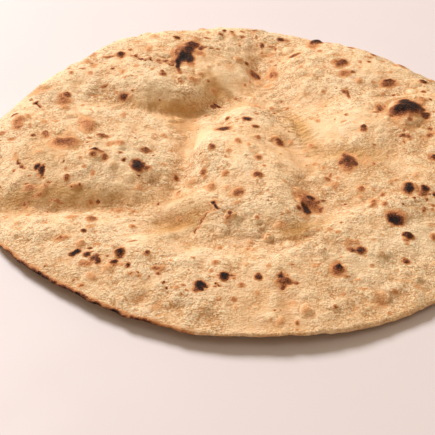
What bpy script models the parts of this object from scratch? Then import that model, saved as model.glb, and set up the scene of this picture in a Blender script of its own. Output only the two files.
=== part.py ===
"""A chapati: one round of unleavened whole-wheat dough, puffed on the fire and laid flat.

It is one solid. Its top rises in mounds where steam parted the dough, with tight valleys
between them. Its underside is flat in the middle, where it rests, and lifts a little at the rim.

Metres, +Z up. The origin is on the resting plane, under the middle of the bread.
Run it with: blender --background --python part.py
"""

import math
from collections import namedtuple

import bmesh
import bpy

# Driving dimensions, in metres.
RADIUS = 0.1007
RIM_THICKNESS = 0.0024
PUFF = 0.015  # height of a full mound above the rim's top

# A mound of the top. Its place, length and width are shares of RADIUS, its height is a share
# of PUFF, and turn is the angle in degrees from +X to its length.
Mound = namedtuple("Mound", "x y length width turn height")

MOUNDS = (
    Mound(-0.36, 0.44, 0.29, 0.16, 2, 0.92),  # back left: its steep front
    Mound(-0.36, 0.54, 0.34, 0.22, 0, 0.95),  # back left: its crown
    Mound(-0.38, 0.68, 0.42, 0.30, 0, 0.92),  # back left: its back
    Mound(-0.14, 0.72, 0.22, 0.28, 8, 0.76),  # back left: its right flank
    Mound(-0.74, 0.46, 0.34, 0.26, 50, 0.84),  # back left: its shoulder
    Mound(-0.94, 0.16, 0.34, 0.16, 84, 0.74),  # left: the rim
    Mound(0.02, 0.90, 0.40, 0.22, -2, 0.72),  # back: the rim between the two mounds
    Mound(0.44, 0.62, 0.34, 0.36, -20, 0.86),  # back right
    Mound(0.74, 0.60, 0.40, 0.26, -46, 0.94),  # back right: its outer shoulder
    Mound(0.03, 0.12, 0.22, 0.15, 104, 0.90),  # middle: its narrow back end
    Mound(-0.02, -0.12, 0.32, 0.20, 98, 1.00),  # middle: its crown
    Mound(0.06, -0.18, 0.38, 0.16, 98, 0.92),  # middle: the broad slope right of the crown
    Mound(-0.03, -0.40, 0.27, 0.18, 0, 0.76),  # middle: its front end
    Mound(-0.62, -0.08, 0.44, 0.24, -2, 0.76),  # left: its crown
    Mound(-0.60, 0.12, 0.42, 0.30, 2, 0.68),  # left: its long back slope
    Mound(0.46, 0.14, 0.32, 0.28, 20, 0.80),  # right
    Mound(0.28, 0.12, 0.14, 0.24, 100, 0.62),  # right: the saddle between it and the middle
    Mound(0.78, 0.18, 0.32, 0.34, 0, 0.82),  # right: the rest of it, out to the rim
    Mound(0.40, -0.12, 0.26, 0.22, -30, 0.62),  # right: the dip in front of it
    Mound(0.72, -0.18, 0.36, 0.28, 20, 0.66),  # right: its low front
    Mound(0.40, -0.50, 0.46, 0.16, 28, 0.50),  # front right roll
    Mound(-0.62, -0.54, 0.36, 0.16, -14, 0.48),  # front left roll
    Mound(-0.08, -0.68, 0.42, 0.15, 6, 0.44),  # front roll
)
MOUND_SHAPE = 2.6  # 2 is a paraboloid; more gives a flatter crown and steeper sides
APRON_HEIGHT = 0.30  # the dough between the mounds, as a share of PUFF
APRON_RUN = 0.15  # how far in from the rim the dough rises to that, as a share of RADIUS
VALLEY_ROUNDING = 0.06  # how softly two mounds meet, as a share of PUFF

# The outline and the rim's lift are waves round the rim.
Wave = namedtuple("Wave", "per_turn share phase")

OUTLINE_WAVES = (
    Wave(1, 0.014, 150),
    Wave(2, 0.012, -75),
    Wave(3, 0.010, -165),
    Wave(4, 0.008, 45),
    Wave(5, 0.005, -165),
    Wave(8, 0.004, -110),
)
APRON_RUN_WAVES = (Wave(1, 0.55, -70),)  # the rim is thin at the front and puffed at the back
RIM_LIFT = 0.0020  # mean height of the rim's underside above the resting plane
RIM_LIFT_WAVES = (Wave(1, 0.30, 215), Wave(3, 0.30, 60), Wave(4, 0.18, 10), Wave(7, 0.12, 130))

# The mesh is made of rings of points, with six points more for each step out from the middle.
TOP_RINGS = 32
FLAT_RING = 18  # the underside is flat inside this ring
UNDERSIDE_STEP = 2  # the underside uses every second ring
POINTS_PER_STEP = 6
RIM_INSET = 0.45  # how far the rim's two edges stand inside its middle, in rim thicknesses

CRUST_COLOUR = (0.70, 0.43, 0.21, 1.0)
CRUST_ROUGHNESS = 0.75


def wave_sum(waves, angle):
    return sum(wave.share * math.cos(wave.per_turn * angle - math.radians(wave.phase)) for wave in waves)


def outline(angle):
    """Distance from the middle to the rim in this direction."""
    return RADIUS * (1 + wave_sum(OUTLINE_WAVES, angle))


def rim_lift(angle):
    """Height of the rim's underside above the resting plane."""
    return RIM_LIFT * (1 + wave_sum(RIM_LIFT_WAVES, angle))


def smooth_step(value):
    value = min(max(value, 0.0), 1.0)
    return value * value * (3 - 2 * value)


def mound_height(mound, x, y):
    """Height of one mound, in shares of PUFF, at a point given in shares of RADIUS."""
    turn = math.radians(mound.turn)
    along = (x - mound.x) * math.cos(turn) + (y - mound.y) * math.sin(turn)
    across = (y - mound.y) * math.cos(turn) - (x - mound.x) * math.sin(turn)
    distance = math.hypot(along / mound.length, across / mound.width)
    return mound.height - (mound.height - APRON_HEIGHT) * distance ** MOUND_SHAPE


def puffed_height(x, y):
    """Height of the smooth union of the apron and the mounds, in shares of PUFF."""
    heights = [APRON_HEIGHT] + [mound_height(mound, x, y) for mound in MOUNDS]
    return VALLEY_ROUNDING * math.log(sum(math.exp(height / VALLEY_ROUNDING) for height in heights))


def underside_height(share, angle):
    """share is 0 in the middle and 1 at the rim."""
    flat = FLAT_RING / TOP_RINGS
    return rim_lift(angle) * smooth_step((share - flat) / (1 - flat))


def top_height(share, angle):
    """The puffed dough, which thins to the rim."""
    reach = share * outline(angle)
    run = APRON_RUN * RADIUS * (1 + wave_sum(APRON_RUN_WAVES, angle))
    inset = (outline(angle) - reach) / run
    rise = 1 - math.exp(-inset * (1 + 0.5 * inset))
    puffed = puffed_height(reach * math.cos(angle) / RADIUS, reach * math.sin(angle) / RADIUS)
    return rim_lift(angle) * smooth_step(share) + RIM_THICKNESS + PUFF * puffed * rise


def rim_middle_height(share, angle):
    return rim_lift(angle) + RIM_THICKNESS / 2


def add_ring(bm, ring, height, inset=0.0):
    """A closed row of points at one share of the outline, all moved inwards by inset."""
    share = ring / TOP_RINGS
    count = POINTS_PER_STEP * ring
    points = []
    for step in range(count):
        angle = 2 * math.pi * step / count
        reach = share * outline(angle) - inset
        points.append(bm.verts.new((reach * math.cos(angle), reach * math.sin(angle), height(share, angle))))
    return points


def stitch(bm, upper, lower):
    """Triangles between two closed rows of points, which may differ in number."""
    above, below = 0, 0
    while above < len(upper) or below < len(lower):
        corner = [upper[above % len(upper)], lower[below % len(lower)]]
        if (above + 1) * len(lower) <= (below + 1) * len(upper):
            above += 1
            corner.append(upper[above % len(upper)])
        else:
            below += 1
            corner.append(lower[below % len(lower)])
        bm.faces.new(corner)


def build_bread():
    bm = bmesh.new()
    edge_inset = RIM_INSET * RIM_THICKNESS
    rows = [add_ring(bm, ring, top_height) for ring in range(1, TOP_RINGS)]
    rows.append(add_ring(bm, TOP_RINGS, top_height, edge_inset))
    rows.append(add_ring(bm, TOP_RINGS, rim_middle_height))
    rows.append(add_ring(bm, TOP_RINGS, underside_height, edge_inset))
    for ring in range(TOP_RINGS - UNDERSIDE_STEP, FLAT_RING - 1, -UNDERSIDE_STEP):
        rows.append(add_ring(bm, ring, underside_height))

    crown = bm.verts.new((0, 0, top_height(0, 0)))
    for step, point in enumerate(rows[0]):
        bm.faces.new((crown, point, rows[0][(step + 1) % len(rows[0])]))
    for upper, lower in zip(rows, rows[1:]):
        stitch(bm, upper, lower)
    bm.faces.new(reversed(rows[-1]))
    bmesh.ops.recalc_face_normals(bm, faces=bm.faces)

    mesh = bpy.data.meshes.new("chapati")
    bm.to_mesh(mesh)
    bm.free()
    mesh.shade_smooth()
    bread = bpy.data.objects.new("chapati", mesh)
    bpy.context.scene.collection.objects.link(bread)
    return bread


def crust_material():
    material = bpy.data.materials.new("crust")
    material.use_nodes = True
    shader = material.node_tree.nodes["Principled BSDF"]
    shader.inputs["Base Color"].default_value = CRUST_COLOUR
    shader.inputs["Roughness"].default_value = CRUST_ROUGHNESS
    shader.inputs["Metallic"].default_value = 0.0
    return material


def main():
    for old in list(bpy.data.objects):
        bpy.data.objects.remove(old, do_unlink=True)
    bread = build_bread()
    bread.data.materials.append(crust_material())


main()
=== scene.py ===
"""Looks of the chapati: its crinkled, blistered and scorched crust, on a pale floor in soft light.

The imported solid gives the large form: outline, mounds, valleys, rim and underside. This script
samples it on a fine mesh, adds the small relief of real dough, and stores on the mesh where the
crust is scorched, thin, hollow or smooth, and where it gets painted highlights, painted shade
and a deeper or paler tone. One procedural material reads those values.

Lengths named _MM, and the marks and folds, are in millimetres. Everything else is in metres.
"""

import math
from collections import namedtuple

import bpy
import numpy as np
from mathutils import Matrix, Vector, noise
from mathutils.bvhtree import BVHTree


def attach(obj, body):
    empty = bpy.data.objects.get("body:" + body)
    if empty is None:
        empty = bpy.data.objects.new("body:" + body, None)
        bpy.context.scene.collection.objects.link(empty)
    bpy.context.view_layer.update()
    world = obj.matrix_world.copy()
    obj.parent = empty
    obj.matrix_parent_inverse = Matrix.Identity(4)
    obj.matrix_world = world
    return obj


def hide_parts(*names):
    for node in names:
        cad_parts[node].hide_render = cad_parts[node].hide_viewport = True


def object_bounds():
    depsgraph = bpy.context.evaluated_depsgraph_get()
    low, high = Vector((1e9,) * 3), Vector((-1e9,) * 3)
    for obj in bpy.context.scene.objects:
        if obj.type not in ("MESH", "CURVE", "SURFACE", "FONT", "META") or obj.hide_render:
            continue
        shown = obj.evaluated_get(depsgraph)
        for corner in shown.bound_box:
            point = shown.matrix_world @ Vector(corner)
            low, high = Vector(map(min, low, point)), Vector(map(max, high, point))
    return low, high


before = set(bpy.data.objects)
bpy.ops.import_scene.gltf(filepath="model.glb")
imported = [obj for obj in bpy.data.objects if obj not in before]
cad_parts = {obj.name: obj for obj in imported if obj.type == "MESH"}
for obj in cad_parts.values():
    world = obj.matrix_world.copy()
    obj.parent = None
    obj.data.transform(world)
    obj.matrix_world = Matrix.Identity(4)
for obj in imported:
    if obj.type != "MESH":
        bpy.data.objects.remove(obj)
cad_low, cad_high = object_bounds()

MM = 0.001
SEED = 7

# ---------------------------------------------------------------- camera, lights and floor

# The camera's distance and target were fitted by a program to the outline of the bread
# in the photo.
CAMERA_ELEVATION = 36.5  # degrees above the floor, looking along +Y
CAMERA_DISTANCE = 0.4297
CAMERA_TARGET = Vector((-0.0109, -0.0411, 0.008))
CAMERA_LENS_MM = 100
CAMERA_SENSOR_MM = 36

# Bearing (from +X towards +Y), height, distance, size, power and colour of each light.
KEY_LIGHT = (126, 39, 2.2, 0.85, 63.5, (1.0, 0.995, 0.99))
FILL_LIGHT = (-60, 70, 1.6, 1.0, 2.0, (1.0, 0.96, 0.92))
ROOM_COLOUR = (1.0, 0.79, 0.52, 1)
ROOM_STRENGTH = 0.43

FLOOR_SIZE = 4.0
FLOOR_GAP = 0.0002  # how far the floor lies under the bread
FLOOR_COLOUR = (0.685, 0.615, 0.635)
FLOOR_DARKER = 0.985  # how bright its darker clouds are, as a share


def aim(thing, target):
    thing.rotation_euler = (target - thing.location).to_track_quat("-Z", "Y").to_euler()


def add_camera():
    camera = bpy.data.objects.new("camera", bpy.data.cameras.new("camera"))
    bpy.context.scene.collection.objects.link(camera)
    camera.data.lens = CAMERA_LENS_MM
    camera.data.sensor_width = CAMERA_SENSOR_MM
    camera.data.dof.use_dof = False
    tilt = math.radians(CAMERA_ELEVATION)
    camera.location = CAMERA_TARGET + CAMERA_DISTANCE * Vector((0, -math.cos(tilt), math.sin(tilt)))
    aim(camera, CAMERA_TARGET)
    bpy.context.scene.camera = camera
    return camera


def add_softbox(name, bearing, height, distance, size, power, colour):
    """A round soft light, at a bearing and a height in degrees as seen from the bread."""
    lamp = bpy.data.lights.new(name, "AREA")
    lamp.shape = "DISK"
    lamp.size = size
    lamp.energy = power
    lamp.color = colour
    softbox = bpy.data.objects.new(name, lamp)
    bpy.context.scene.collection.objects.link(softbox)
    turn, rise = math.radians(bearing), math.radians(height)
    away = Vector((math.cos(rise) * math.cos(turn), math.cos(rise) * math.sin(turn), math.sin(rise)))
    softbox.location = distance * away
    aim(softbox, Vector((0, 0, 0)))


def add_lights():
    add_softbox("key", *KEY_LIGHT)
    add_softbox("fill", *FILL_LIGHT)
    world = bpy.data.worlds.new("room")
    bpy.context.scene.world = world
    world.use_nodes = True
    background = world.node_tree.nodes["Background"]
    background.inputs["Color"].default_value = ROOM_COLOUR
    background.inputs["Strength"].default_value = ROOM_STRENGTH
    bpy.context.scene.view_settings.view_transform = "Standard"


# ---------------------------------------------------------------- the crust's small relief

# The fine mesh: rings of points, each ring with six points more than the ring inside it.
TOP_RINGS = 156
UNDERSIDE_RINGS = 78
POINTS_PER_RING = 6
RIM_ROWS = 4  # rows between the top's edge and the underside's edge
RIM_INSET_MM = 1.1  # how far those two edges stand inside the rim
OUTLINE_SECTORS = 96
SMOOTHING_PASSES = 24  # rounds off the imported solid's facets

# A fold is a soft crease (height below 0) or ridge (above 0) along a line of points.
Fold = namedtuple("Fold", "points width height")

FOLDS = (
    Fold(((-47, 41), (-38, 36), (-30, 35), (-22, 37), (-14, 43)), 5.0, 0.9),
    Fold(((-29, 24), (-30, 12), (-30, 0), (-31, -14)), 6.0, 0.9),
    Fold(((-13, 38), (-10, 44), (-13, 50)), 2.6, -1.0),
    Fold(((-14, 54), (-8, 46), (4, 40), (14, 41)), 1.8, 0.7),
    Fold(((12, 44), (9, 54), (6, 66), (4, 82)), 6.0, -1.8),
    Fold(((14, 38), (19, 24), (21, 8), (24, -6)), 1.6, -0.9),
    Fold(((17, 36), (23, 24), (26, 10), (30, 0)), 2.0, 0.5),
    Fold(((24, -6), (34, -5), (46, -8)), 2.4, -0.7),
    Fold(((34, 26), (46, 33), (58, 40), (74, 46)), 2.4, 0.6),
    Fold(((-12, 30), (-19, 18), (-22, 2), (-24, -14), (-28, -26)), 2.4, -0.7),
    Fold(((-36, -42), (-28, -43), (-18, -44)), 4.0, -1.4),
    Fold(((-38, -57), (-30, -55), (-22, -51)), 2.2, 0.8),
    Fold(((23, -49), (10, -55), (-2, -57), (-14, -52)), 3.0, -0.3),
    Fold(((26, -51), (38, -42), (52, -36), (64, -32)), 3.6, 0.6),
    Fold(((-88, -33), (-72, -36), (-56, -36), (-42, -37)), 3.0, -1.0),
    Fold(((-86, -47), (-72, -50), (-62, -48)), 2.6, 0.7),
    Fold(((-34, -78), (-36, -86), (-38, -90)), 2.0, -0.6),
    Fold(((10, -78), (11, -86), (12, -92)), 2.6, -0.6),
    Fold(((44, -80), (48, -87), (50, -90)), 2.6, -0.6),
)

# A step is a steep little slope: the crust stands higher on the left of its line of points,
# walking along it, and lower on the right. Width is the reach to either side.
# Most of the points were read off the photo, in pixels, and turned into millimetres by a program.
# They were then given here with changes, and some still have the program's numbers.
Step = namedtuple("Step", "points width height")
STEP_STEEPNESS = 1.5
STEP_SPREAD = 3.5  # where the crust is back at its own level, in widths of the step
STEP_ENDS = 6  # a step is at full height from this part of its length, as one over it
STEPS = (
    Step(((-56, 40), (-50, 33), (-43, 28.5), (-34, 27.5), (-26, 29), (-18, 33), (-12, 39)), 2.0, 1.0),
    Step(((-14, 32), (-17.5, 26), (-20, 17), (-21, 8), (-20, -5), (-20.5, -14), (-23, -22),
          (-27, -30), (-30, -37)), 3.2, 1.5),
    Step(((-14, -50), (-5, -54), (2, -57.5), (10, -57), (16, -55.5), (23, -53), (30, -46)), 3.0, 0.3),
    Step(((5, -58.5), (12, -57.5), (18, -56), (23, -53.5), (28, -49)), 1.5, 0.6),
    Step(((30, -36), (29.7, -27), (27, -14), (24, 0), (20.5, 8), (20, 18), (16.5, 33), (10, 43)),
         3.0, 0.6),
    Step(((-97, -22), (-91, -25), (-82.5, -31), (-73.5, -33.6), (-61.6, -33.5), (-49.4, -31),
          (-38.6, -30), (-31.5, -28)), 3.5, 1.1),
)

# A pucker is a row of small wrinkles across a crease: how far they reach to either side of it,
# how far apart they are and how high.
Pucker = namedtuple("Pucker", "points reach apart height")
PUCKERS = (
    Pucker(((14, 38), (19, 24), (21, 8), (25, -8)), 5.0, 2.1, 0.22),
    Pucker(((-56, 39), (-50, 32), (-43, 27), (-34, 26), (-26, 28), (-18, 32)), 4.0, 2.4, 0.16),
    Pucker(((8, 44), (9, 54), (6, 66)), 4.0, 2.4, 0.18),
    Pucker(((-30, -36), (-24, -24), (-22, -8)), 4.0, 2.6, 0.16),
)

# A swell is a broad rise, or below 0 a hollow: its length and width are turned by degrees.
Swell = namedtuple("Swell", "x y length width turn height")
SWELLS = (
    Swell(-62, -14, 28, 12, 0, 1.2),
    Swell(8, -2, 8, 24, 0, -1.2),
    Swell(2, -51, 14, 6, 0, -0.7),
    Swell(-26, -45, 6, 5, 0, -2.8),
    Swell(-15, 2, 5, 22, 0, 1.6),
    Swell(-16, -36, 7, 6, 20, 0.9),
    Swell(18, -43, 10, 6, 20, 1.0),
    Swell(27, -55, 24, 5, 35, 1.5),
    Swell(24, 24, 8, 12, 0, 0.8),
    Swell(-55, -43, 16, 5, 0, 0.7),
    Swell(-12, -101, 34, 8, 0, -1.4),
    Swell(-38, -66, 5, 12, -30, 1.2),
    Swell(-8, 50, 7, 7, 0, 0.7),
    Swell(6, 58, 5, 10, 0, -0.8),
    Swell(-42, -62, 12, 6, 20, 0.8),
    Swell(8, -24, 4, 3, 0, 0.5),
)

# Undulation of the dough: (distance between bumps, height), in millimetres.
UNDULATION = ((26, 0.5), (13, 0.40), (6, 0.38), (3.4, 0.27))
# Pebbled skin of the crust, in geometry: rounded domes with sharp grooves between them.
PEBBLES = ((2.4, 0.13), (1.4, 0.10))
PEBBLE_REACH = 0.72  # distance from a dome's middle to its grooves, in domes
PEBBLE_WARP_MM = 0.5  # how far noise shifts the domes
HOLLOW_PASSES = 40  # how widely the crust is averaged to tell hollows from crests
HOLLOW_MM = 0.30  # depth of a hollow that gets the full painted shade

# Noises that are sums of layers: (distance between bumps, height) of each layer.
RIM_WAVER = ((14, 0.45), (4, 0.25))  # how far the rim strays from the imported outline
PATCHES = ((13, 0.35), (5, 0.2))  # how the strength of the pebbled skin varies
NOISE_GAIN = 1.6  # brings Blender's noise to about -1 to 1

# Seeds of the noises. A sum of layers, or a noise in several directions, takes the next ones too.
PATCHES_SEED = 5
PEBBLE_WARP_SEED = 11
PEBBLES_SEED = 14
UNDULATION_SEED = 20
RAGGED_SEED = 31
LOBED_SEED = 33
ONE_SIDED_SEED = 35
RIM_WAVER_SEED = 41
BULGE_SEED = 51
RIM_PATCHES_SEED = 61
RIM_GRAIN_SEED = 62
PUCKER_SEED = 71


def bell(distance, reach):
    """1 at distance 0, and 0.37 at the reach."""
    return np.exp(-((distance / reach) ** 2))


def turned(right, up, degrees):
    """The distances along and across a direction turned this far from +X."""
    turn = math.radians(degrees)
    along = right * math.cos(turn) + up * math.sin(turn)
    across = up * math.cos(turn) - right * math.sin(turn)
    return along, across


def oval(points, x, y, length, width, turn=0):
    """1 in the middle of an oval place, fading out around it."""
    along, across = turned(points[:, 0] - x, points[:, 1] - y, turn)
    return bell(np.hypot(along / length, across / width), 1)


def polar(points):
    """Each point's distance from the middle, and its bearing in radians."""
    return np.hypot(points[:, 0], points[:, 1]), np.arctan2(points[:, 1], points[:, 0])


def noise_at(points, distance_mm, seed):
    """Smooth noise, about -1 to 1, with bumps this far apart."""
    shift = Vector((3.1 * seed, -1.7 * seed, 5.3 * seed))
    heights = [noise.noise(Vector(point) / distance_mm + shift) for point in points]
    return np.array(heights) * NOISE_GAIN


def layered_noise(points, layers, seed):
    """The sum of noises given as (distance between bumps, height)."""
    return sum(height * noise_at(points, apart, seed + n) for n, (apart, height) in enumerate(layers))


def along_line(points, line):
    """Distance to a line of points (above 0 on its left), and the share of it that is passed."""
    nearest = np.full(len(points), np.inf)
    side = np.ones(len(points))
    passed_share = np.zeros(len(points))
    lengths = [math.dist(a, b) for a, b in zip(line, line[1:])]
    passed = 0.0
    for start, end, length in zip(line, line[1:], lengths):
        start, run = np.array(start), np.array(end) - np.array(start)
        away = points[:, :2] - start
        share = np.clip((away @ run) / length**2, 0, 1)
        distance = np.linalg.norm(away - share[:, None] * run, axis=1)
        closer = distance < nearest
        nearest = np.where(closer, distance, nearest)
        side = np.where(closer, np.sign(run[0] * away[:, 1] - run[1] * away[:, 0]), side)
        passed_share = np.where(closer, (passed + share * length) / sum(lengths), passed_share)
        passed += length
    return nearest * side, passed_share


def faded_ends(along, weakest):
    """Strength along a line: 1 in its middle, and weaker towards its ends."""
    return np.sin(np.pi * np.clip(along, weakest, 1 - weakest)) ** 0.5


def fold_relief(points):
    relief = np.zeros(len(points))
    for fold in FOLDS:
        distance, along = along_line(points, fold.points)
        relief += fold.height * faded_ends(along, 0.08) * bell(distance, fold.width)
    for step in STEPS:
        distance, along = along_line(points, step.points)
        reach = distance / step.width
        fade = np.clip(STEP_ENDS * along, 0, 1) * np.clip(STEP_ENDS * (1 - along), 0, 1)
        relief += step.height * fade * np.tanh(STEP_STEEPNESS * reach) * bell(reach, STEP_SPREAD)
    for pucker in PUCKERS:
        distance, along = along_line(points, pucker.points)
        length = sum(math.dist(a, b) for a, b in zip(pucker.points, pucker.points[1:]))
        uneven = 2.2 * noise_at(points, 5, PUCKER_SEED)
        wave = np.cos(2 * math.pi * along * length / pucker.apart + uneven)
        relief += pucker.height * faded_ends(along, 0.04) * wave * bell(distance, pucker.reach)
    for *place, height in SWELLS:
        relief += height * oval(points, *place)
    return relief


# ---------------------------------------------------------------- scorch marks and blisters

# burn is 0.3 for a tan mark, 0.6 for brown and 1.2 for black.
# lift is the height of its blister, or below 0 the depth of its crater.
# turn is in degrees.
Mark = namedtuple("Mark", "x y wide deep burn lift turn", defaults=(0, 0))
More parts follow.
